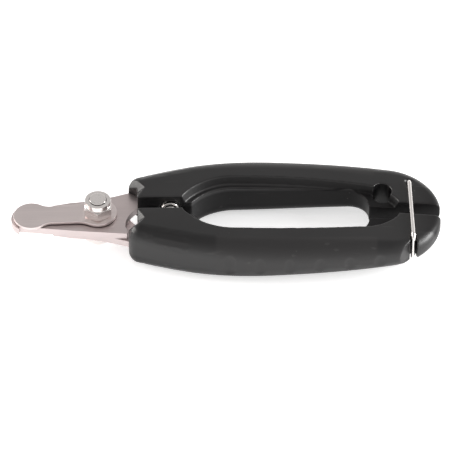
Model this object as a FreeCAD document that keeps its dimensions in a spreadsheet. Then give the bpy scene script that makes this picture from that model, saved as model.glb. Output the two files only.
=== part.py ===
import FreeCAD, Part

import math
import os
import re

import Sketcher

# Plier-type pet nail trimmer, closed and locked, in millimetres.
# X runs along the tool with the jaws at -X, Y across the two handles, Z through their thickness.
# The origin is at the centre of the underside of the whole tool's box.
# The right-hand handle (at +Y with the jaws pointing away from the user) carries the locking bail.

SIZES = {
    # levels
    "mid_z": 7.5,             # the plane between the two blades, half the handles' greatest thickness
    # pivot
    "pivot_x": -38.7,
    "shank_d": 5.0,
    "pivot_hole_d": 5.1,
    "hex_across": 8.0,
    "hex_face_d": 7.76,       # the round face left where a hexagon's corners are trimmed
    "bolt_head_height": 3.5,
    "washer_thick": 0.7,
    "washer_d": 9.6,
    "nut_hex_height": 3.4,
    "nut_height": 5.0,
    "nut_collar_d": 7.7,
    "nut_lip_d": 5.4,
    "insert_thick": 1.1,
    "insert_d": 6.0,
    "bolt_standout": 0.35,
    # blades
    "blade_gap": 0.03,        # from the middle plane to each blade's inner face
    "blade_thick": 2.3,
    "jaw_tip_x": -65.0,
    "jaw_bevel": 1.2,
    "tang_end_x": 18.0,
    "key_hole_d": 2.6,        # holes in the tang that the handle's plastic fills
    "key_front_x": -15.0,
    "key_rear_x": 10.0,
    "blade_swing_r": 12.6,    # radius about the pivot that each handle's nose leaves free for the other blade
    # nail guard
    "spacer_thick": 0.3,
    "spacer_d": 8.6,
    "guard_clearance": 0.03,
    "guard_thick": 0.9,
    "guard_reach": 20.2,
    "guard_tip_r": 5.4,
    "guard_boss_r": 5.7,
    "guard_turn": 3.7,        # degrees that the guard is swung from the tool's axis
    # handles
    "nose_x": -29.5,
    "parting": 2.3,           # half the gap between the handles
    "belly_x": 14.0,
    "belly_y": 21.0,
    "front_arc_r": 111.7,
    "rear_arc_r": 259.7,
    "heel_x": 50.0,
    "heel_y": 18.5,
    "heel_r": 17.4,
    "rear_x": 65.0,
    "taper_x": -10.0,         # the top and bottom faces are flat up to here and then curve together
    "taper_r": 640.0,
    "nose_step_x": -26.8,     # the inner part of the nose stands back behind the outer part
    "nose_step_y": 7.6,
    "nose_corner_y": 9.84,
    "facet_x": -24.5,         # the point of the V-shaped facet on the nose
    "facet_y": 6.6,
    "facet_fall": 45.0,       # degrees that the facet's valley falls towards the nose
    "facet_inner": 1.8,       # width of the facet each side of its valley, per millimetre of depth
    "facet_outer": 1.3,
    # finger opening
    "opening_front_x": -10.3,
    "opening_side_x": 2.5,    # from here to the rear corner the opening's side is straight
    "opening_rear_x": 43.3,
    "opening_half": 8.87,
    "opening_front_r": 16.4,
    "opening_rear_r": 6.3,
    # sunken lip around the top of the finger opening
    "lip_depth": 2.75,        # below the handle's top face
    "lip_base": 3.95,         # height of the recess's own base above the middle plane at X = 0
    "lip_slope": 2.5,         # degrees that this base falls towards the rear, to stay under the lip
    "lip_draft": 21.0,
    # spring
    "spring_x": -17.0,
    "spring_z": 9.6,
    "spring_wire_d": 0.75,
    "spring_d": 5.7,
    "spring_socket_d": 6.3,
    "spring_half": 6.3,
    "spring_pitch": 1.7,
    # hang hole and locking bail
    "hang_x": 47.5,
    "hang_y": 7.1,
    "hang_d": 5.7,
    "bail_x": 55.8,
    "bail_y": 11.2,
    "bail_reach": 24.5,
    "bail_turn": 1.0,         # degrees that the bail leans towards the rear
    "bail_wire_d": 1.25,
    "bail_rise": 4.95,        # height of the bail's runs above the middle plane
    "bail_pin_depth": 1.6,    # height above the middle plane at which each bent-in end stops
    "bail_hole_d": 1.35,
    "bail_sink_d": 2.8,
    "bail_sink": 0.45,
    "bail_bend_r": 1.4,
    "notch_x": 56.2,
    "notch_half": 0.95,
    "notch_floor_y": 11.6,
}

# Radius of a handle's rounded edges at stations along X, blended evenly between them.
OUTER_ROUNDING = [(-30.0, 3.8), (-27.3, 4.2), (14.0, 6.0), (50.0, 4.3), (65.0, 2.2)]
UNDER_ROUNDING = [(-12.0, 4.5), (2.5, 4.5), (37.0, 3.4), (43.3, 2.5)]

FLUTE_XS = [0.6 + 9.2 * index for index in range(6)]
FLUTE_R = 4.5
FLUTE_DEPTH = 0.35

Z_AXIS = FreeCAD.Vector(0, 0, 1)
Y_AXIS = FreeCAD.Vector(0, 1, 0)

doc = FreeCAD.newDocument("nail_trimmer")


def make_sheet():
    """The driving dimensions, one row each, with the name as the cell's alias."""
    sheet = doc.addObject("Spreadsheet::Sheet", "Sheet")
    for row, (name, value) in enumerate(SIZES.items(), start=1):
        sheet.set(f"A{row}", name)
        sheet.set(f"B{row}", str(value))
        sheet.setAlias(f"B{row}", name)
    doc.recompute()
    return sheet


SHEET = make_sheet()


def linked(formula):
    """A formula with each size's name turned into a link to its cell."""
    return re.sub(r"[a-z]\w*", lambda word: f"Sheet.{word[0]}" if word[0] in SIZES else word[0], formula)


def number(formula):
    return float(SHEET.evalExpression(linked(str(formula))))


def bind(item, field, formula):
    item.setExpression(field, linked(str(formula)))


# ---------------------------------------------------------------- sketches

def pinned(sketch, geometry, corner, x, y):
    """Hold one point of a sketch at bound X and Y distances from the sketch's origin."""
    for kind, formula in (("DistanceX", x), ("DistanceY", y)):
        row = sketch.addConstraint(Sketcher.Constraint(kind, -1, 1, geometry, corner, number(formula)))
        bind(sketch, f"Constraints[{row}]", formula)


def bulged_arc(start, end, radius, bulge):
    """The shorter arc from start to end, bulging to the left of the way along it when bulge is 1."""
    chord = end - start
    side = FreeCAD.Vector(-chord.y, chord.x, 0).normalize() * bulge
    drop = math.sqrt(radius ** 2 - chord.Length ** 2 / 4)
    top = (start + end) * 0.5 + side * (radius - drop)
    return Part.Arc(start, top, end)


def corner_at(sketch, geometry, point):
    """1 or 2: which end of the sketch's line or arc lies at the point."""
    starts_there = (sketch.getPoint(geometry, 1) - point).Length < 1e-4
    return 1 if starts_there else 2


def outline(sketch, corners, closed=True):
    """A chain of lines and arcs. Each corner is (x, y) or (x, y, radius, bulge) for an arc to the next."""
    points = [FreeCAD.Vector(number(corner[0]), number(corner[1]), 0) for corner in corners]
    stretches = len(corners) if closed else len(corners) - 1
    for index in range(stretches):
        start = points[index]
        end = points[(index + 1) % len(points)]
        if len(corners[index]) == 2:
            sketch.addGeometry(Part.LineSegment(start, end), False)
            continue
        radius, bulge = corners[index][2:]
        sketch.addGeometry(bulged_arc(start, end, number(radius), bulge), False)
        row = sketch.addConstraint(Sketcher.Constraint("Radius", sketch.GeometryCount - 1, number(radius)))
        bind(sketch, f"Constraints[{row}]", radius)
    for index in range(stretches):
        here = corner_at(sketch, index, points[index])
        if index or closed:
            before = (index - 1) % stretches
            there = corner_at(sketch, before, points[index])
            sketch.addConstraint(Sketcher.Constraint("Coincident", before, there, index, here))
        pinned(sketch, index, here, corners[index][0], corners[index][1])
    if not closed:
        last = stretches - 1
        pinned(sketch, last, corner_at(sketch, last, points[-1]), corners[-1][0], corners[-1][1])


def circle(sketch, x, y, diameter):
    centre = FreeCAD.Vector(number(x), number(y), 0)
    geometry = sketch.addGeometry(Part.Circle(centre, Z_AXIS, number(diameter) / 2), False)
    pinned(sketch, geometry, 3, x, y)
    row = sketch.addConstraint(Sketcher.Constraint("Diameter", geometry, number(diameter)))
    bind(sketch, f"Constraints[{row}]", diameter)


def new_body(name):
    body = doc.addObject("PartDesign::Body", name)
    body.Label = name
    return body


def new_sketch(body, name, plane="XY_Plane", height="0"):
    """A sketch on one of the body's own origin planes, raised along the plane's normal."""
    sketch = body.newObject("Sketcher::SketchObject", name)
    origin_plane = next(item for item in body.Origin.OriginFeatures if item.Role == plane)
    sketch.AttachmentSupport = (origin_plane, "")
    sketch.MapMode = "FlatFace"
    bind(sketch, "AttachmentOffset.Base.z", height)
    return sketch


def pad(body, sketch, length):
    feature = body.newObject("PartDesign::Pad", sketch.Name + "_pad")
    feature.Profile = sketch
    bind(feature, "Length", length)
    sketch.Visibility = False
    return feature


def pocket_through(body, sketch):
    """A cut right through the body, both ways from the sketch."""
    feature = body.newObject("PartDesign::Pocket", sketch.Name + "_pocket")
    feature.Profile = sketch
    feature.Type = "ThroughAll"
    feature.Midplane = True
    return feature


# ---------------------------------------------------------------- primitives and booleans

def cylinder(name, x, y, bottom, diameter, height, axis=Z_AXIS):
    """A cylinder from a bound base point along an axis."""
    made = doc.addObject("Part::Cylinder", name)
    bind(made, "Radius", f"({diameter}) / 2")
    bind(made, "Height", height)
    made.Placement = FreeCAD.Placement(FreeCAD.Vector(), FreeCAD.Rotation(Z_AXIS, axis))
    bind(made, "Placement.Base.x", x)
    bind(made, "Placement.Base.y", y)
    bind(made, "Placement.Base.z", bottom)
    return made


def hexagon(name, bottom, height):
    """A hexagonal prism on the pivot, with a corner pointing towards each handle."""
    made = doc.addObject("Part::Prism", name)
    made.Polygon = 6
    made.Placement = FreeCAD.Placement(FreeCAD.Vector(), FreeCAD.Rotation(Z_AXIS, 30))
    bind(made, "Circumradius", "hex_across / 2 / cos(30 deg)")
    bind(made, "Height", height)
    bind(made, "Placement.Base.x", "pivot_x")
    bind(made, "Placement.Base.z", bottom)
    return made


def joined(name, items):
    made = doc.addObject("Part::MultiFuse", name)
    made.Shapes = items
    return made


def cut(name, base, tool):
    made = doc.addObject("Part::Cut", name)
    made.Label = name
    made.Base = base
    made.Tool = tool
    return made


def mirrored_down(name, item):
    """The item's mirror image in the plane between the blades."""
    made = doc.addObject("Part::Mirroring", name)
    made.Source = item
    made.Normal = Z_AXIS
    bind(made, "Base.z", "mid_z")
    return made


def mirrored_across(name, item):
    """The item's mirror image in the upright plane between the handles."""
    made = doc.addObject("Part::Mirroring", name)
    made.Source = item
    made.Normal = Y_AXIS
    made.Label = name
    return made


def turned_over(name, item):
    """The same piece turned half a turn about the tool's long axis, in the middle plane."""
    return mirrored_across(name, mirrored_down(name + "_face", item))


# ---------------------------------------------------------------- blades

def blade_blank(name):
    """One stamped blade: jaw, pivot boss and the tang that runs inside a handle."""
    body = new_body(name)
    profile = new_sketch(body, name + "_outline", height="mid_z + blade_gap")
    outline(profile, [
        ("nose_x - 0.4", "-8.4"),
        ("-45.8", "-6.9"),
        ("-62.4", "-4.9"),
        ("-62.5", "-6.1", "6.3", 1),
        ("jaw_tip_x", "-1.8", "5.2", 1),
        ("-64.0", "1.6"),
        ("-63.2", "2.2", "12.2", -1),
        ("-52.6", "3.6"),
        ("-52.2", "4.2"),
        ("-47.0", "5.3", "60", -1),
        ("nose_x - 2", "8.7"),
        ("-22.5", "11.8"),
        ("tang_end_x", "17.0", "2.6", 1),
        ("tang_end_x", "12.2"),
        ("-20.5", "7.5"),
        ("-25.6", "3.4", "9.5", -1),
        ("nose_x - 0.9", "-5.4", "3.2", 1),
    ])
    pad(body, profile, "blade_thick")
    bore = new_sketch(body, name + "_bore")
    circle(bore, "pivot_x", "0", "pivot_hole_d")
    pocket_through(body, bore)
    doc.recompute()
    sharpen(body, name)
    return body


def sharpen(body, name):
    """Grind the outer side of the curved cutting notch down to its edge."""
    blank = body.Tip
    top = number("mid_z + blade_gap + blade_thick")
    tip, shoulder = FreeCAD.Vector(-63.2, 2.2, top), FreeCAD.Vector(-52.6, 3.6, top)
    for index, edge in enumerate(body.Shape.Edges, start=1):
        ends = [vertex.Point for vertex in edge.Vertexes]
        if all(min((end - tip).Length, (end - shoulder).Length) < 0.01 for end in ends):
            bevel = body.newObject("PartDesign::Chamfer", name + "_bevel")
            bevel.Base = (blank, [f"Edge{index}"])
            bind(bevel, "Size", "jaw_bevel")
            body.Tip = bevel
            doc.recompute()
            return


def upper_blade():
    """The blade with two keying holes along the middle of its tang, which leans outwards to the rear."""
    blank = blade_blank("upper_blade_blank")
    holes = []
    for place, x in (("front", "key_front_x"), ("rear", "key_rear_x")):
        y = f"(9.65 + ({x} + 22) * 0.1238)"
        holes.append(cylinder(f"key_hole_{place}", x, y, "mid_z", "key_hole_d", "blade_thick + 1"))
    return cut("upper_blade", blank, joined("key_holes", holes))


# ---------------------------------------------------------------- handles

def taper_drop(x):
    """The formula for how far the top face has curved down at a place along X."""
    return f"(taper_r - sqrt(taper_r ^ 2 - ({x} - taper_x) ^ 2))"


def handle_blank():
    """The handle's plan outline, tapered in thickness by two long arcs."""
    body = new_body("handle_blank")
    profile = new_sketch(body, "handle_outline")
    outline(profile, [
        ("nose_step_x", "parting"),
        ("nose_step_x", "nose_step_y"),
        ("nose_x", "9.2"),
        ("nose_x", "nose_corner_y", "3.49", 1),
        ("-27.3", "13.08", "front_arc_r", 1),
        ("belly_x", "belly_y", "rear_arc_r", 1),
        ("heel_x", "heel_y", "heel_r", 1),
        ("rear_x", "parting"),
    ])
    pad(body, profile, "2 * mid_z")
    for name, side in (("top_taper", 1), ("bottom_taper", -1)):
        taper = new_sketch(body, name, plane="XZ_Plane")
        outline(taper, [
            ("taper_x", f"mid_z + {side} * mid_z", "taper_r", side),
            ("rear_x + 5", f"mid_z + {side} * (mid_z - {taper_drop('rear_x + 5')})"),
            ("rear_x + 5", f"mid_z + {side} * (mid_z + 3)"),
            ("taper_x", f"mid_z + {side} * (mid_z + 3)"),
        ])
        pocket_through(body, taper)
    return body


def rounding_at(stations, x):
    """The radius between the two stations on either side of a place along X."""
    for (x_before, r_before), (x_after, r_after) in zip(stations, stations[1:]):
        if x <= x_after:
            return r_before + (r_after - r_before) * (x - x_before) / (x_after - x_before)
    return stations[-1][1]


def rounded(name, item, stations, chosen):
    """The item with every edge rounded whose two end points pass the test."""
    doc.recompute()
    made = doc.addObject("Part::Fillet", name)
    made.Base = item
    edges = []
    for index, edge in enumerate(item.Shape.Edges, start=1):
        first, last = edge.valueAt(edge.FirstParameter), edge.valueAt(edge.LastParameter)
        upright = abs(first.z - last.z) > 3
        if not upright and chosen(first, last):
            edges.append((index, rounding_at(stations, first.x), rounding_at(stations, last.x)))
    made.Edges = edges
    return made


def is_outer(first, last):
    """True for an edge along the handle's outer side, which is neither on the parting face nor across the nose."""
    inner = min(first.y, last.y) < number("parting") + 0.01 and max(first.x, last.x) < number("rear_x") - 0.01
    behind = max(first.x, last.x) > number("nose_step_x") + 0.01
    return not inner and (behind or max(first.y, last.y) > number("nose_corner_y") + 0.01)


def is_under_opening(first, last):
    """True for an edge where the finger opening's wall meets the underside."""
    low = max(first.z, last.z) < number("mid_z") - 3
    beside = number("parting") + 0.01 < max(first.y, last.y) < number("opening_half") + 0.01
    front, rear = number("opening_front_x") - 1.5, number("opening_rear_x") + 0.01
    return low and beside and min(first.x, last.x) > front and max(first.x, last.x) < rear


def opened_handle():
    """The handle rounded outside, cut back for the fingers and rounded along the opening's lower edge."""
    outside = rounded("handle_rounded", handle_blank(), OUTER_ROUNDING, is_outer)
    opened = cut("handle_opened", outside, finger_opening())
    return rounded("handle_softened", opened, UNDER_ROUNDING, is_under_opening)


def finger_opening():
    """The half of the finger opening that this handle gives way to."""
    body = new_body("finger_opening")
    profile = new_sketch(body, "opening_outline", height="-1")
    outline(profile, [
        ("opening_front_x - 1.2", "1.0"),
        ("opening_front_x", "2.4", "opening_front_r", 1),
        ("opening_side_x", "opening_half"),
        ("opening_rear_x - opening_rear_r", "opening_half", "opening_rear_r", 1),
        ("opening_rear_x", "opening_half - opening_rear_r"),
        ("opening_rear_x", "1.0"),
    ])
    pad(body, profile, "2 * mid_z + 2")
    return body


def lip_floor():
    """Everything below the lip, which runs parallel to the handle's top face."""
    body = new_body("lip_floor")
    profile = new_sketch(body, "lip_floor_outline", plane="XZ_Plane")
    outline(profile, [
        ("nose_x", "0"),
        ("nose_x", "2 * mid_z - lip_depth"),
        ("taper_x", "2 * mid_z - lip_depth", "taper_r", 1),
        ("rear_x + 5", f"2 * mid_z - lip_depth - {taper_drop('rear_x + 5')}"),
        ("rear_x + 5", "0"),
    ])
    pad(body, profile, "4 * opening_half").Midplane = True
    return body


def lip_recess():
    """The room over the sunken lip, with steep drafted sides up to the handle's face."""
    body = new_body("lip_room")
    profile = new_sketch(body, "lip_outline", height="mid_z + lip_base")
    profile.AttachmentOffset = FreeCAD.Placement(
        profile.AttachmentOffset.Base, FreeCAD.Rotation(Y_AXIS, number("lip_slope")))
    bind(profile, "AttachmentOffset.Base.z", "mid_z + lip_base")
    outline(profile, [
        ("-12.1", "0"),
        ("-12.1", "2.6", "17.8", 1),
        ("2.4", "9.8", "310", 1),
        ("40.0", "8.0", "14", 1),
        ("51.1", "2.8"),
        ("51.1", "0"),
    ])
    room = pad(body, profile, "6")
    bind(room, "TaperAngle", "lip_draft")
    return cut("lip_recess", body, lip_floor())


def nose_facet():
    """A V-shaped groove that falls towards the nose and breaks its top corner."""
    body = new_body("nose_facet")
    profile = new_sketch(body, "nose_facet_outline", plane="YZ_Plane", height="facet_x")
    outline(profile, [
        ("facet_y", "2 * mid_z"),
        ("facet_y + 8 * facet_outer", "2 * mid_z + 8"),
        ("facet_y - 8 * facet_inner", "2 * mid_z + 8"),
    ])
    feature = pad(body, profile, "9")
    feature.UseCustomVector = True
    feature.AlongSketchNormal = False
    fall = math.radians(number("facet_fall"))
    feature.Direction = FreeCAD.Vector(-math.cos(fall), 0, -math.sin(fall))
    return body


def flutes():
    """Shallow upright grooves along the outer side of the grip."""
    made = []
    for index, x in enumerate(FLUTE_XS):
        radius = number("front_arc_r") if x < number("belly_x") else number("rear_arc_r")
        skin = number("belly_y") - radius + math.sqrt(radius ** 2 - (x - number("belly_x")) ** 2)
        y = skin + FLUTE_R - FLUTE_DEPTH
        made.append(cylinder(f"flute_{index}", x, y, "-1", 2 * FLUTE_R, "2 * mid_z + 2"))
    return made


def spring_socket(name, side):
    """A round blind hole for one end of the spring; side is 1 in the right handle and -1 in the left."""
    return cylinder(name, "spring_x", "0", "spring_z", "spring_socket_d", "spring_half + 0.1", axis=Y_AXIS * side)


def blade_swing():
    """Room in the right nose for the rear corner of the lower blade as the jaws open."""
    return cylinder("blade_swing", "pivot_x", "0", "mid_z - blade_gap - blade_thick - 0.15",
                    "2 * blade_swing_r", "blade_thick + 2 * blade_gap + 0.15")


def plain_handle():
    """What both handles share before their own blade, spring and bail are let in."""
    facet = nose_facet()
    cuts = [lip_recess(), facet, mirrored_down("bottom_facet", facet), *flutes()]
    return cut("plain_handle", opened_handle(), joined("handle_cuts", cuts))


def bail_holes():
    """The hang hole, and the two blind holes with shallow sinks that the bail's ends turn in."""
    bore = cylinder("hang_hole", "hang_x", "hang_y", "-1", "hang_d", "2 * mid_z + 2")
    pin_height = "bail_rise - bail_pin_depth + 0.3"
    face = f"(mid_z - {taper_drop('bail_x')})"
    made = [bore]
    for name, bottom, sink in (
        ("top", "mid_z + bail_pin_depth - 0.3", f"mid_z + {face} - bail_sink"),
        ("bottom", "mid_z - bail_rise", f"mid_z - {face} + bail_sink - 3"),
    ):
        made.append(cylinder(f"bail_hole_{name}", "bail_x", "bail_y", bottom, "bail_hole_d", pin_height))
        made.append(cylinder(f"bail_sink_{name}", "bail_x", "bail_y", sink, "bail_sink_d", "3"))
    return made


def bail_notch():
    """The notch in the left handle's outer side that catches the bail, with a sloping front flank."""
    body = new_body("bail_notch")
    profile = new_sketch(body, "bail_notch_outline", height="-1")
    outline(profile, [
        ("notch_x - notch_half", "notch_floor_y"),
        ("notch_x - notch_half", "notch_floor_y + 2.6"),
        ("notch_x - notch_half - 3.6", "notch_floor_y + 7"),
        ("notch_x + notch_half + 0.4", "notch_floor_y + 7"),
        ("notch_x + notch_half", "notch_floor_y"),
    ])
    pad(body, profile, "2 * mid_z + 2")
    return body


def handles(upper, lower):
    """Two mirror-image handles: the bail turns in the right one and is caught by the left one."""
    plain = plain_handle()
    swing = blade_swing()
    right_cuts = [upper, swing, spring_socket("right_socket", 1), *bail_holes()]
    left_cuts = [lower, mirrored_down("left_blade_swing", swing), spring_socket("left_socket", -1)]
    notched = mirrored_across("left_blank", cut("notched_blank", plain, bail_notch()))
    return [
        cut("right_handle", plain, joined("right_cuts", right_cuts)),
        cut("left_handle", notched, joined("left_cuts", left_cuts)),
    ]


# ---------------------------------------------------------------- pivot hardware

def ring(name, bottom, height, outer, inner):
    return cut(name,
               cylinder(name + "_disc", "pivot_x", "0", bottom, outer, height),
               cylinder(name + "_eye", "pivot_x", "0", f"{bottom} - 1", inner, f"{height} + 2"))


NUT_BASE = "mid_z + blade_gap + blade_thick + spacer_thick + 2 * guard_clearance + guard_thick"
HEAD_TOP = "mid_z - blade_gap - blade_thick - washer_thick"


def corner_cone(name, bottom, height, narrow_end):
    """A cone that trims a hexagon's corners at 30 degrees towards one end."""
    made = doc.addObject("Part::Cone", name)
    narrow = "hex_face_d / 2"
    wide = f"{narrow} + ({height}) / tan(30 deg)"
    bind(made, "Radius1", narrow if narrow_end == "bottom" else wide)
    bind(made, "Radius2", wide if narrow_end == "bottom" else narrow)
    bind(made, "Height", height)
    bind(made, "Placement.Base.x", "pivot_x")
    bind(made, "Placement.Base.z", bottom)
    return made


def trimmed_hexagon(name, bottom, height, ends):
    made = doc.addObject("Part::MultiCommon", name)
    cones = [corner_cone(f"{name}_{end}_cone", bottom, height, end) for end in ends]
    made.Shapes = [hexagon(name + "_hexagon", bottom, height), *cones]
    return made


def pivot_bolt():
    head = trimmed_hexagon("bolt_head", f"{HEAD_TOP} - bolt_head_height", "bolt_head_height", ["bottom"])
    length = f"({NUT_BASE}) + nut_height + bolt_standout - ({HEAD_TOP})"
    shank = doc.addObject("Part::Cylinder", "bolt_shank")
    bind(shank, "Radius", "shank_d / 2")
    bind(shank, "Height", length)
    bind(shank, "Placement.Base.x", "pivot_x")
    bind(shank, "Placement.Base.z", HEAD_TOP)
    made = joined("pivot_bolt", [head, shank])
    made.Label = "pivot_bolt"
    return made


def lock_nut():
    """The hexagon with a round collar, bored for the bolt and for the nylon insert under its lip."""
    hexagonal = trimmed_hexagon("nut_hex", NUT_BASE, "nut_hex_height", ["bottom", "top"])
    collar = cylinder("nut_collar", "pivot_x", "0", f"{NUT_BASE} + 1", "nut_collar_d", "nut_height - 1")
    solid = joined("nut_solid", [hexagonal, collar])
    bore = cylinder("nut_bore", "pivot_x", "0", f"{NUT_BASE} - 1", "shank_d", "nut_height")
    lip = cylinder("nut_lip", "pivot_x", "0", f"{NUT_BASE} + nut_height - 2", "nut_lip_d", "3")
    seat_base = f"{NUT_BASE} + nut_height - 0.4 - insert_thick"
    seat = cylinder("nut_seat", "pivot_x", "0", seat_base, "insert_d", "insert_thick")
    return cut("lock_nut", solid, joined("nut_bores", [bore, lip, seat]))


def nail_guard():
    """The paddle-shaped plate over the jaws, swung slightly off the tool's axis."""
    body = new_body("nail_guard")
    profile = new_sketch(body, "guard_outline")
    outline(profile, [
        ("-guard_reach + 3.1", "4.42", "5.0", -1),
        ("-13.4", "3.62"),
        ("-8.0", "3.75", "9.0", -1),
        ("-3.3", "4.65", "guard_boss_r", 1),
        ("guard_boss_r", "0", "guard_boss_r", 1),
        ("-3.3", "-4.65", "9.0", -1),
        ("-8.0", "-3.75"),
        ("-13.4", "-3.62", "5.0", -1),
        ("-guard_reach + 3.1", "-4.42", "guard_tip_r", 1),
        ("-guard_reach - guard_tip_r", "0", "guard_tip_r", 1),
    ])
    pad(body, profile, "guard_thick")
    bore = new_sketch(body, "guard_bore")
    circle(bore, "0", "0", "pivot_hole_d")
    pocket_through(body, bore)
    body.Placement = FreeCAD.Placement(FreeCAD.Vector(), FreeCAD.Rotation(Z_AXIS, number("guard_turn")))
    bind(body, "Placement.Base.x", "pivot_x")
    bind(body, "Placement.Base.z", "mid_z + blade_gap + blade_thick + spacer_thick + guard_clearance")
    return body


# ---------------------------------------------------------------- spring and bail

def opening_spring():
    """The coil between the handles, wound along Y and seated in a socket at each end."""
    coil = doc.addObject("Part::Helix", "spring_coil")
    bind(coil, "Radius", "(spring_d - spring_wire_d) / 2")
    bind(coil, "Pitch", "spring_pitch")
    bind(coil, "Height", "2 * spring_half - spring_wire_d")
    doc.recompute()
    wire = doc.addObject("Part::Circle", "spring_wire")
    bind(wire, "Radius", "spring_wire_d / 2")
    wire.Placement = FreeCAD.Placement(FreeCAD.Vector(), FreeCAD.Rotation(Z_AXIS, Y_AXIS))
    bind(wire, "Placement.Base.x", "(spring_d - spring_wire_d) / 2")
    made = doc.addObject("Part::Sweep", "opening_spring")
    made.Label = "opening_spring"
    made.Sections = [wire]
    made.Spine = (coil, [f"Edge{index}" for index in range(1, len(coil.Shape.Edges) + 1)])
    made.Solid = True
    made.Frenet = True
    made.Placement = FreeCAD.Placement(FreeCAD.Vector(), FreeCAD.Rotation(Z_AXIS, Y_AXIS))
    bind(made, "Placement.Base.x", "spring_x")
    bind(made, "Placement.Base.y", "-spring_half + spring_wire_d / 2")
    bind(made, "Placement.Base.z", "spring_z")
    return made


def lock_bail():
    """The wire loop: both ends bent into the right handle, the leg lying in the left handle's notch."""
    body = new_body("lock_bail")
    route = new_sketch(body, "bail_route", plane="YZ_Plane")
    bend = "bail_bend_r"
    outline(route, [
        ("0", "bail_pin_depth"),
        ("0", f"bail_rise - {bend}", bend, -1),
        (f"-{bend}", "bail_rise"),
        (f"-bail_reach + {bend}", "bail_rise", bend, -1),
        ("-bail_reach", f"bail_rise - {bend}"),
        ("-bail_reach", f"-bail_rise + {bend}", bend, -1),
        (f"-bail_reach + {bend}", "-bail_rise"),
        (f"-{bend}", "-bail_rise", bend, -1),
        ("0", f"-bail_rise + {bend}"),
        ("0", "-bail_pin_depth"),
    ], closed=False)
    section = new_sketch(body, "bail_section", height="bail_pin_depth")
    circle(section, "0", "0", "bail_wire_d")
    pipe = body.newObject("PartDesign::AdditivePipe", "bail_pipe")
    pipe.Profile = section
    pipe.Spine = route
    body.Placement = FreeCAD.Placement(FreeCAD.Vector(), FreeCAD.Rotation(Z_AXIS, number("bail_turn")))
    bind(body, "Placement.Base.x", "bail_x")
    bind(body, "Placement.Base.y", "bail_y")
    bind(body, "Placement.Base.z", "mid_z")
    return body


# ---------------------------------------------------------------- assembly

def build():
    upper = upper_blade()
    lower = turned_over("lower_blade", upper)
    right, left = handles(upper, lower)
    spacer_base = "mid_z + blade_gap + blade_thick"
    insert_base = f"{NUT_BASE} + nut_height - 0.4 - insert_thick"
    return [
        upper,
        lower,
        right,
        left,
        pivot_bolt(),
        ring("head_washer", HEAD_TOP, "washer_thick", "washer_d", "pivot_hole_d"),
        ring("guard_spacer", spacer_base, "spacer_thick", "spacer_d", "pivot_hole_d"),
        nail_guard(),
        lock_nut(),
        ring("nut_insert", insert_base, "insert_thick", "insert_d", "shank_d"),
        opening_spring(),
        lock_bail(),
    ]


def check(parts):
    """Stop with a message if any object failed or any part has no sound solid."""
    for item in doc.Objects:
        if "Invalid" in item.State or "Error" in item.State:
            raise RuntimeError(f"{item.Name} failed: {item.State}")
    for part in parts:
        if part.Shape.isNull() or not part.Shape.isValid() or not part.Shape.Solids:
            raise RuntimeError(f"{part.Label} has no sound solid")


def write(parts):
    os.makedirs("parts", exist_ok=True)
    for part in parts:
        part.Shape.exportStep(f"parts/{part.Label}.step")
        box = part.Shape.BoundBox
        print(f"{part.Label:18s} {part.Shape.Volume:9.1f} mm3  {len(part.Shape.Solids)} solid(s)  "
              f"X {box.XMin:.2f}..{box.XMax:.2f}  Y {box.YMin:.2f}..{box.YMax:.2f}  "
              f"Z {box.ZMin:.2f}..{box.ZMax:.2f}")


all_parts = build()
doc.recompute()
check(all_parts)
write(all_parts)
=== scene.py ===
import math

import bmesh
import bpy
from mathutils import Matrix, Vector


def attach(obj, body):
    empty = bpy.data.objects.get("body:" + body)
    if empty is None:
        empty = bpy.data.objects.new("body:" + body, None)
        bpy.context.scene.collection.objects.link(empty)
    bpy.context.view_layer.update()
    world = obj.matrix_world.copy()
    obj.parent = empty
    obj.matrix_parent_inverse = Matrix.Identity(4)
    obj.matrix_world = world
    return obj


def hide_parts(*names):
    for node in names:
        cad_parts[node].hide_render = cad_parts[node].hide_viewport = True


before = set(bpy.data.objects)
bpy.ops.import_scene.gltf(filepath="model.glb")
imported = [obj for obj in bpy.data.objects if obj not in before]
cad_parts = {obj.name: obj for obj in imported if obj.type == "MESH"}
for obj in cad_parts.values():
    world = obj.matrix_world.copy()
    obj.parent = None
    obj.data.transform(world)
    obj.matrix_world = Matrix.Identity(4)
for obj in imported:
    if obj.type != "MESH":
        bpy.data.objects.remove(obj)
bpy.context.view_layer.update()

MM = 0.001

# Camera: the tool lies along X and is seen from the side of the near handle.
CAMERA_ELEVATION = 44.0
CAMERA_TURN = 0.75          # degrees that the camera stands towards the jaws
CAMERA_DISTANCE = 1.5
CAMERA_LENS = 396.0
AIM = Vector((-0.3 * MM, 0.0, 7.5 * MM))
SENSOR_WIDTH = 36.0
AIM_DROP = 1.78 * MM        # how far the camera stands below the aim point, so that the tool sits higher

# Mesh finishing.
WELD_DISTANCE = 0.002 * MM
FLAT_ANGLE = math.radians(0.6)      # faces that meet at less than this are one flat face
BEVEL_ANGLE = math.radians(35)      # corners sharper than this are bevelled
SHARP_ANGLE = math.radians(15)      # faces that meet at more than this are shaded apart
HANDLE_GRAIN = 0.25 * MM            # the size of the small faces that make up a handle's skin
HANDLE_SMOOTHING = 2                # how many times the skin is smoothed
SMOOTHING_STRENGTH = 0.5
SKIN_KEPT = 0.5                     # the share of the skin's faces that is kept
PLATE_BEVEL = 0.14 * MM
FASTENER_BEVEL = 0.10 * MM
BEVEL_STEPS = 2

# Where the grip panel lies on each handle: its inner edge runs parallel to the handle's outer side.
BELLY_X = 14.0 * MM
BELLY_RADIUS = 259.7 * MM
PANEL_EDGE_Y = 15.2 * MM
PANEL_CENTRE_X = 21.0 * MM
PANEL_HALF_LENGTH = 24.5 * MM
PANEL_SIDE_FADE = 0.3 * MM
PANEL_END_FADE = 0.6 * MM

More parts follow.
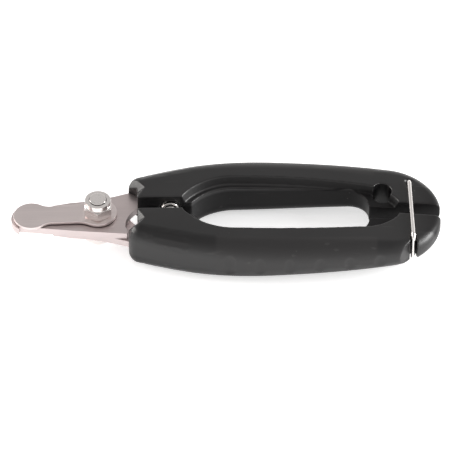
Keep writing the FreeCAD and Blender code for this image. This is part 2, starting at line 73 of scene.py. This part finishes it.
# The handles' gloss is turned down in two places, so that the lit floor doesn't glare in the dark plastic:
# near the tool's middle plane and below its top, where the finger opening's walls are, and low down.
OPENING_HALF = 8.9 * MM
OPENING_FADE = 1.2 * MM
OPENING_TOP = (10.0 * MM, 11.5 * MM)
LOW_BAND = (0.5 * MM, 5.5 * MM)
OPENING_GLOSS = 0.3
LOW_GLOSS = 0.02
FULL_GLOSS = 0.55

# The studio.
FLOOR_HALF_SIZE = 3.0
FLOOR_DROP = 0.02 * MM
FLOOR_GLOW = 0.55           # the lit paper sweep fills most of its own shadows
LIGHT_DISTANCE = 0.9
# How bright the sky is at some heights from the horizon, 0, to overhead, 1. The ends come first.
SKY = [(0.0, 1.0), (1.0, 0.36), (0.35, 0.92), (0.7, 0.56)]
SKY_GREEN = 0.985           # the sky's green and blue, as shares of its red
SKY_BLUE = 0.975


# ---------------------------------------------------------------- mesh helpers

def copied(node, name, body):
    """A new object with a copy of a CAD node's mesh, standing in for the node."""
    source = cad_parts[node]
    mesh = source.data.copy()
    mesh.name = name
    mesh.materials.clear()
    piece = bpy.data.objects.new(name, mesh)
    bpy.context.scene.collection.objects.link(piece)
    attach(piece, body)
    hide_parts(node)
    return piece


def weld(piece):
    """Join the mesh's split corners, so that its faces share their vertices."""
    work = bmesh.new()
    work.from_mesh(piece.data)
    bmesh.ops.remove_doubles(work, verts=work.verts, dist=WELD_DISTANCE)
    work.to_mesh(piece.data)
    work.free()
    if piece.data.has_custom_normals:
        with bpy.context.temp_override(object=piece, active_object=piece):
            bpy.ops.mesh.customdata_custom_splitnormals_clear()


def apply_modifiers(piece):
    """Turn the piece's modifiers into mesh."""
    graph = bpy.context.evaluated_depsgraph_get()
    made = bpy.data.meshes.new_from_object(piece.evaluated_get(graph))
    piece.modifiers.clear()
    old = piece.data
    piece.data = made
    bpy.data.meshes.remove(old)


def mould(piece):
    """Round every corner softly, as on a plastic moulding: an even skin of small faces, then smoothed."""
    weld(piece)
    remesh = piece.modifiers.new("skin", "REMESH")
    remesh.mode = "VOXEL"
    remesh.voxel_size = HANDLE_GRAIN
    smooth = piece.modifiers.new("smooth", "SMOOTH")
    smooth.factor = SMOOTHING_STRENGTH
    smooth.iterations = HANDLE_SMOOTHING
    thin = piece.modifiers.new("thin", "DECIMATE")
    thin.ratio = SKIN_KEPT
    apply_modifiers(piece)
    piece.data.shade_smooth()


def machine(piece, width):
    """Break the sharp edges of a metal piece with a narrow bevel."""
    weld(piece)
    work = bmesh.new()
    work.from_mesh(piece.data)
    bmesh.ops.dissolve_limit(work, angle_limit=FLAT_ANGLE, verts=work.verts, edges=work.edges)
    work.to_mesh(piece.data)
    work.free()
    bevel = piece.modifiers.new("edges", "BEVEL")
    bevel.width = width
    bevel.segments = BEVEL_STEPS
    bevel.limit_method = "ANGLE"
    bevel.angle_limit = BEVEL_ANGLE
    apply_modifiers(piece)
    piece.data.shade_smooth()
    piece.data.set_sharp_from_angle(angle=SHARP_ANGLE)


# ---------------------------------------------------------------- material helpers

# The mix node's colour sockets share their names with its others, so they go by number.
MIX_COLOURS = (6, 7)
MIX_RESULT = 2


class Surface:
    """A material under construction: its nodes, and short ways to add and join them."""

    def __init__(self, name, metallic, ior=1.5):
        self.material = bpy.data.materials.new(name)
        self.material.use_nodes = True
        self.nodes = self.material.node_tree.nodes
        self.links = self.material.node_tree.links
        self.shader = self.nodes["Principled BSDF"]
        self.shader.inputs["Metallic"].default_value = metallic
        self.shader.inputs["IOR"].default_value = ior
        self.place = self.nodes.new("ShaderNodeTexCoord").outputs["Object"]

    def join(self, source, target):
        self.links.new(source, target)

    def stretched(self, scale, turn=0.0):
        """Object coordinates scaled differently along X, Y and Z, for grain that runs one way."""
        mapping = self.nodes.new("ShaderNodeMapping")
        mapping.inputs["Scale"].default_value = scale
        mapping.inputs["Rotation"].default_value = (0, 0, turn)
        self.join(self.place, mapping.inputs["Vector"])
        return mapping.outputs["Vector"]

    def noise(self, scale, detail=2.0, roughness=0.5, vector=None):
        node = self.nodes.new("ShaderNodeTexNoise")
        node.inputs["Scale"].default_value = scale
        node.inputs["Detail"].default_value = detail
        node.inputs["Roughness"].default_value = roughness
        self.join(vector or self.place, node.inputs["Vector"])
        return node.outputs["Fac"]

    def cells(self, scale):
        node = self.nodes.new("ShaderNodeTexVoronoi")
        node.inputs["Scale"].default_value = scale
        self.join(self.place, node.inputs["Vector"])
        return node.outputs["Distance"]

    def fade(self, value, low, high, bottom=0.0, top=1.0):
        """The value taken from low..high to bottom..top, and held beyond them."""
        node = self.nodes.new("ShaderNodeMapRange")
        node.inputs["From Min"].default_value = low
        node.inputs["From Max"].default_value = high
        node.inputs["To Min"].default_value = bottom
        node.inputs["To Max"].default_value = top
        self.join(value, node.inputs["Value"])
        return node.outputs["Result"]

    def combine(self, kind, first, second):
        node = self.nodes.new("ShaderNodeMath")
        node.operation = kind
        for socket, item in zip(node.inputs, (first, second)):
            if isinstance(item, float):
                socket.default_value = item
            else:
                self.join(item, socket)
        return node.outputs["Value"]

    def mixed(self, amount, first, second):
        """A colour between two, each a colour or another node's output."""
        node = self.nodes.new("ShaderNodeMix")
        node.data_type = "RGBA"
        self.join(amount, node.inputs["Factor"])
        for socket, item in zip(MIX_COLOURS, (first, second)):
            if isinstance(item, tuple):
                node.inputs[socket].default_value = (*item, 1.0)
            else:
                self.join(item, node.inputs[socket])
        return node.outputs[MIX_RESULT]

    def bump(self, height, strength, distance, under=None):
        node = self.nodes.new("ShaderNodeBump")
        node.inputs["Strength"].default_value = strength
        node.inputs["Distance"].default_value = distance
        self.join(height, node.inputs["Height"])
        if under is not None:
            self.join(under, node.inputs["Normal"])
        return node.outputs["Normal"]

    def share(self, value, part):
        """Part of a value, where 1.0 is all of it."""
        return self.combine("MULTIPLY", value, part)

    def size_of(self, value):
        """The value without its sign."""
        return self.combine("ABSOLUTE", value, 0.0)

    def axes(self):
        """The X, Y and Z of the place on the piece."""
        node = self.nodes.new("ShaderNodeSeparateXYZ")
        self.join(self.place, node.inputs["Vector"])
        return node.outputs["X"], node.outputs["Y"], node.outputs["Z"]

    def edges(self, low, high):
        """0 on flats and 1 on outward corners."""
        return self.fade(self.nodes.new("ShaderNodeNewGeometry").outputs["Pointiness"], low, high)

    def finish(self, colour, roughness, normal):
        self.join(colour, self.shader.inputs["Base Color"])
        self.join(roughness, self.shader.inputs["Roughness"])
        self.join(normal, self.shader.inputs["Normal"])
        return self.material


# ---------------------------------------------------------------- materials

SMOOTH_BLACK = (0.0055, 0.0052, 0.0056)
CLOUDY_BLACK = (0.0095, 0.009, 0.0095)
PANEL_BLACK = (0.0135, 0.0125, 0.0128)
WORN_BLACK = (0.034, 0.032, 0.032)
SCRATCH_GREY = (0.05, 0.048, 0.047)
DUST_GREY = (0.12, 0.115, 0.11)
NYLON_DARK = (0.012, 0.013, 0.02)
NYLON_LIGHT = (0.03, 0.032, 0.045)
PAPER_DARK = (0.93, 0.93, 0.93)
PAPER_LIGHT = (0.95, 0.95, 0.95)
BLADE_TINT = (0.66, 0.58, 0.575)
GUARD_TINT = (0.76, 0.68, 0.67)
WASHER_TINT = (0.74, 0.70, 0.68)
FASTENER_TINT = (0.87, 0.83, 0.81)
WIRE_TINT = (0.86, 0.83, 0.81)
SPRING_TINT = (0.80, 0.77, 0.75)

# How far the grain is drawn out along each axis: a small number gives long lines.
FLOW_LINES = (0.35, 1.0, 1.0)
SCRATCH_LINES = (0.05, 1.0, 0.6)
PLATE_LINES = (0.05, 1.0, 1.0)
WASHER_LINES = (1.0, 1.0, 0.3)


def grip_panel(made, x, y):
    """1 over the ribbed outer side of each handle and 0 over its smooth nose, top and rear end."""
    along = made.combine("SUBTRACT", x, BELLY_X)
    curve = made.combine("DIVIDE", made.combine("MULTIPLY", along, along), 2 * BELLY_RADIUS)
    across = made.combine("ADD", made.size_of(y), curve)
    outer = made.fade(across, PANEL_EDGE_Y - PANEL_SIDE_FADE, PANEL_EDGE_Y + PANEL_SIDE_FADE)
    reach = made.size_of(made.combine("SUBTRACT", x, PANEL_CENTRE_X))
    inside = made.fade(reach, PANEL_HALF_LENGTH - PANEL_END_FADE, PANEL_HALF_LENGTH, 1.0, 0.0)
    return made.combine("MULTIPLY", outer, inside)


def handle_gloss(made, y, z):
    """Full gloss high on a handle's outer side and top, and less near the middle plane and low down."""
    beyond = made.fade(made.size_of(y), OPENING_HALF, OPENING_HALF + OPENING_FADE, OPENING_GLOSS, 1.0)
    above = made.fade(z, *OPENING_TOP)
    outside = made.combine("MAXIMUM", beyond, above)
    height = made.fade(z, *LOW_BAND, LOW_GLOSS, FULL_GLOSS)
    return made.combine("MULTIPLY", outside, height)


def dust_specks(made):
    """1 on a few small specks, which lie in patches."""
    dots = made.fade(made.cells(420.0), 0.05, 0.11, 1.0, 0.0)
    patches = made.fade(made.noise(90.0, detail=1.0), 0.56, 0.66)
    return made.combine("MULTIPLY", dots, patches)


def handle_colour(made, flow, panel, scratches, specks):
    """Near black, a little lighter on the panel, on worn corners, along scratches and on dust."""
    worn = made.edges(0.515, 0.56)
    colour = made.mixed(made.fade(flow, 0.35, 0.65), SMOOTH_BLACK, CLOUDY_BLACK)
    colour = made.mixed(made.share(panel, 0.8), colour, PANEL_BLACK)
    colour = made.mixed(made.share(worn, 0.55), colour, WORN_BLACK)
    colour = made.mixed(made.share(scratches, 0.35), colour, SCRATCH_GREY)
    return made.mixed(made.share(specks, 0.4), colour, DUST_GREY)


def grip_plastic():
    """Black satin moulding: spark-eroded grain, faint flow marks, dust, wear and a matter grip panel."""
    made = Surface("grip_plastic", metallic=0.0, ior=1.49)
    x, y, z = made.axes()
    panel = grip_panel(made, x, y)
    flow = made.noise(60.0, detail=3.0, vector=made.stretched(FLOW_LINES))
    grain = made.noise(5200.0, detail=2.0, roughness=0.6)
    specks = dust_specks(made)
    lines = made.noise(700.0, detail=1.0, vector=made.stretched(SCRATCH_LINES, turn=0.9))
    scratches = made.fade(lines, 0.70, 0.76)
    colour = handle_colour(made, flow, panel, scratches, specks)
    rough = made.combine("ADD", made.fade(flow, 0.3, 0.7, 0.34, 0.42), made.share(specks, 0.2))
    rough = made.combine("ADD", rough, made.share(panel, 0.1))
    normal = made.bump(grain, 0.22, 0.02 * MM)
    normal = made.bump(scratches, 0.3, 0.02 * MM, under=normal)
    made.join(handle_gloss(made, y, z), made.shader.inputs["Specular IOR Level"])
    return made.finish(colour, rough, normal)


def darkened(tint, share):
    return tuple(channel * share for channel in tint)


def brushed_steel(name, tint, along, rough):
    """Ground and tumbled steel: fine lines one way, cloudy roughness and a few deeper marks."""
    made = Surface(name, metallic=1.0)
    fine = made.noise(900.0, detail=3.0, roughness=0.7, vector=made.stretched(along))
    coarse = made.noise(260.0, detail=2.0, vector=made.stretched(along))
    cloud = made.noise(110.0, detail=3.0)
    marks = made.fade(made.noise(420.0, detail=1.0, vector=made.stretched(along, turn=0.5)), 0.70, 0.78)
    base = made.mixed(made.fade(fine, 0.35, 0.65), darkened(tint, 0.94), tint)
    base = made.mixed(made.share(marks, 0.4), base, darkened(tint, 0.72))
    lines = made.combine("ADD", made.share(fine, 0.6), made.share(coarse, 0.4))
    clouded = made.fade(cloud, 0.3, 0.7, rough - 0.04, rough + 0.05)
    roughness = made.combine("ADD", clouded, made.share(marks, 0.1))
    normal = made.bump(lines, 0.1, 0.01 * MM)
    return made.finish(base, roughness, normal)


def nickel(name, tint, rough):
    """Bright plating with faint ripples and small dull spots."""
    made = Surface(name, metallic=1.0)
    ripple = made.noise(500.0, detail=2.0)
    spots = made.fade(made.noise(1500.0, detail=2.0), 0.58, 0.7)
    cloud = made.noise(240.0, detail=2.0)
    colour = made.mixed(made.share(spots, 0.4), tint, darkened(tint, 0.7))
    clouded = made.fade(cloud, 0.3, 0.7, rough - 0.03, rough + 0.04)
    roughness = made.combine("ADD", clouded, made.share(spots, 0.12))
    normal = made.bump(ripple, 0.12, 0.03 * MM)
    return made.finish(colour, roughness, normal)


def nylon():
    """Dark dull nylon, slightly cloudy."""
    made = Surface("insert_nylon", metallic=0.0)
    cloud = made.noise(900.0, detail=2.0)
    grain = made.noise(4000.0, detail=2.0)
    colour = made.mixed(cloud, NYLON_DARK, NYLON_LIGHT)
    return made.finish(colour, made.fade(cloud, 0.3, 0.7, 0.45, 0.6), made.bump(grain, 0.2, 0.02 * MM))


def floor_paper():
    """Pale matt paper that glows a little, as lit paper under a bright studio does."""
    made = Surface("floor_paper", metallic=0.0)
    made.shader.inputs["Emission Color"].default_value = (1.0, 1.0, 1.0, 1.0)
    made.shader.inputs["Emission Strength"].default_value = FLOOR_GLOW
    cloud = made.noise(3.0, detail=2.0)
    fibre = made.noise(1800.0, detail=2.0)
    colour = made.mixed(cloud, PAPER_DARK, PAPER_LIGHT)
    return made.finish(colour, made.fade(cloud, 0.3, 0.7, 0.85, 0.95), made.bump(fibre, 0.05, 0.01 * MM))


# ---------------------------------------------------------------- the tool

def make_handles():
    plastic = grip_plastic()
    for side, body in (("right", "right_lever"), ("left", "left_lever")):
        piece = copied(f"{side}_handle", f"{side}_grip", body)
        mould(piece)
        piece.data.materials.append(plastic)


def make_blades():
    steel = brushed_steel("blade_steel", BLADE_TINT, PLATE_LINES, rough=0.40)
    guard_steel = brushed_steel("guard_steel", GUARD_TINT, PLATE_LINES, rough=0.34)
    for node, body, metal, slot in (
        ("upper_blade", "right_lever", steel, "blade_steel"),
        ("lower_blade", "left_lever", steel, "blade_steel"),
        ("nail_guard", "guard", guard_steel, "guard_steel"),
    ):
        piece = copied(node, f"{node}_plate", body)
        machine(piece, PLATE_BEVEL)
        piece.data.materials.append(metal)


def make_pivot():
    bright = nickel("fastener_nickel", FASTENER_TINT, rough=0.14)
    washer = brushed_steel("washer_steel", WASHER_TINT, WASHER_LINES, rough=0.32)
    for node, metal, slot in (
        ("pivot_bolt", bright, "fastener_nickel"),
        ("lock_nut", bright, "fastener_nickel"),
        ("head_washer", washer, "washer_steel"),
        ("guard_spacer", washer, "washer_steel"),
    ):
        piece = copied(node, f"{node}_metal", "right_lever")
        machine(piece, FASTENER_BEVEL)
        piece.data.materials.append(metal)


def paint(node, material):
    """Give a CAD node that stays as it is its material, with smooth shading across its fine facets."""
    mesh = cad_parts[node].data
    mesh.shade_smooth()
    for index in range(len(mesh.materials)):
        mesh.materials[index] = material


def make_small_parts():
    paint("lock_bail", nickel("wire_steel", WIRE_TINT, rough=0.16))
    paint("opening_spring", nickel("spring_steel", SPRING_TINT, rough=0.22))
    paint("nut_insert", nylon())


# ---------------------------------------------------------------- floor, light and camera

def make_floor():
    work = bmesh.new()
    bmesh.ops.create_grid(work, x_segments=1, y_segments=1, size=FLOOR_HALF_SIZE)
    mesh = bpy.data.meshes.new("floor")
    work.to_mesh(mesh)
    work.free()
    floor = bpy.data.objects.new("floor", mesh)
    bpy.context.scene.collection.objects.link(floor)
    floor.location.z = -FLOOR_DROP
    mesh.materials.append(floor_paper())


def direction(azimuth, elevation):
    """The way from the tool to a camera or lamp. Azimuth 0 is the near handle's side, 90 the rear ends'."""
    turn = math.radians(azimuth)
    rise = math.radians(elevation)
    return Vector((math.sin(turn) * math.cos(rise), -math.cos(turn) * math.cos(rise), math.sin(rise)))


def softbox(name, azimuth, elevation, size, power, tint=(1.0, 1.0, 1.0)):
    """An area light that faces the tool."""
    light = bpy.data.lights.new(name, "AREA")
    light.shape = "RECTANGLE"
    light.size, light.size_y = size
    light.energy = power
    light.color = tint
    lamp = bpy.data.objects.new(name, light)
    bpy.context.scene.collection.objects.link(lamp)
    away = direction(azimuth, elevation)
    lamp.location = AIM + away * LIGHT_DISTANCE
    lamp.rotation_mode = "QUATERNION"
    lamp.rotation_quaternion = away.to_track_quat("Z", "Y")


def make_sky():
    world = bpy.data.worlds.new("studio")
    bpy.context.scene.world = world
    world.use_nodes = True
    nodes = world.node_tree.nodes
    links = world.node_tree.links
    background = nodes["Background"]
    split = nodes.new("ShaderNodeSeparateXYZ")
    ramp = nodes.new("ShaderNodeValToRGB")
    links.new(nodes.new("ShaderNodeTexCoord").outputs["Generated"], split.inputs["Vector"])
    links.new(split.outputs["Z"], ramp.inputs["Fac"])
    links.new(ramp.outputs["Color"], background.inputs["Color"])
    stops = ramp.color_ramp.elements
    for index, (height, level) in enumerate(SKY):
        stop = stops[index] if index < len(stops) else stops.new(height)
        stop.position = height
        stop.color = (level, level * SKY_GREEN, level * SKY_BLUE, 1.0)
    background.inputs["Strength"].default_value = 1.0


def make_lamps():
    softbox("left_box", azimuth=-105, elevation=22, size=(0.7, 0.4), power=6.5, tint=(1.0, 0.97, 0.94))
    softbox("right_box", azimuth=92, elevation=16, size=(0.5, 0.35), power=9.0)


def make_camera():
    data = bpy.data.cameras.new("camera")
    data.lens = CAMERA_LENS
    data.sensor_width = SENSOR_WIDTH
    camera = bpy.data.objects.new("camera", data)
    bpy.context.scene.collection.objects.link(camera)
    away = direction(-CAMERA_TURN, CAMERA_ELEVATION)
    camera.rotation_mode = "QUATERNION"
    camera.rotation_quaternion = away.to_track_quat("Z", "Y")
    up = camera.rotation_quaternion @ Vector((0, 1, 0))
    camera.location = AIM - up * AIM_DROP + away * CAMERA_DISTANCE
    bpy.context.scene.camera = camera


make_camera()
make_handles()
make_blades()
make_pivot()
make_small_parts()
make_floor()
make_sky()
make_lamps()
bpy.context.scene.view_settings.view_transform = "Standard"

bpy.context.view_layer.update()
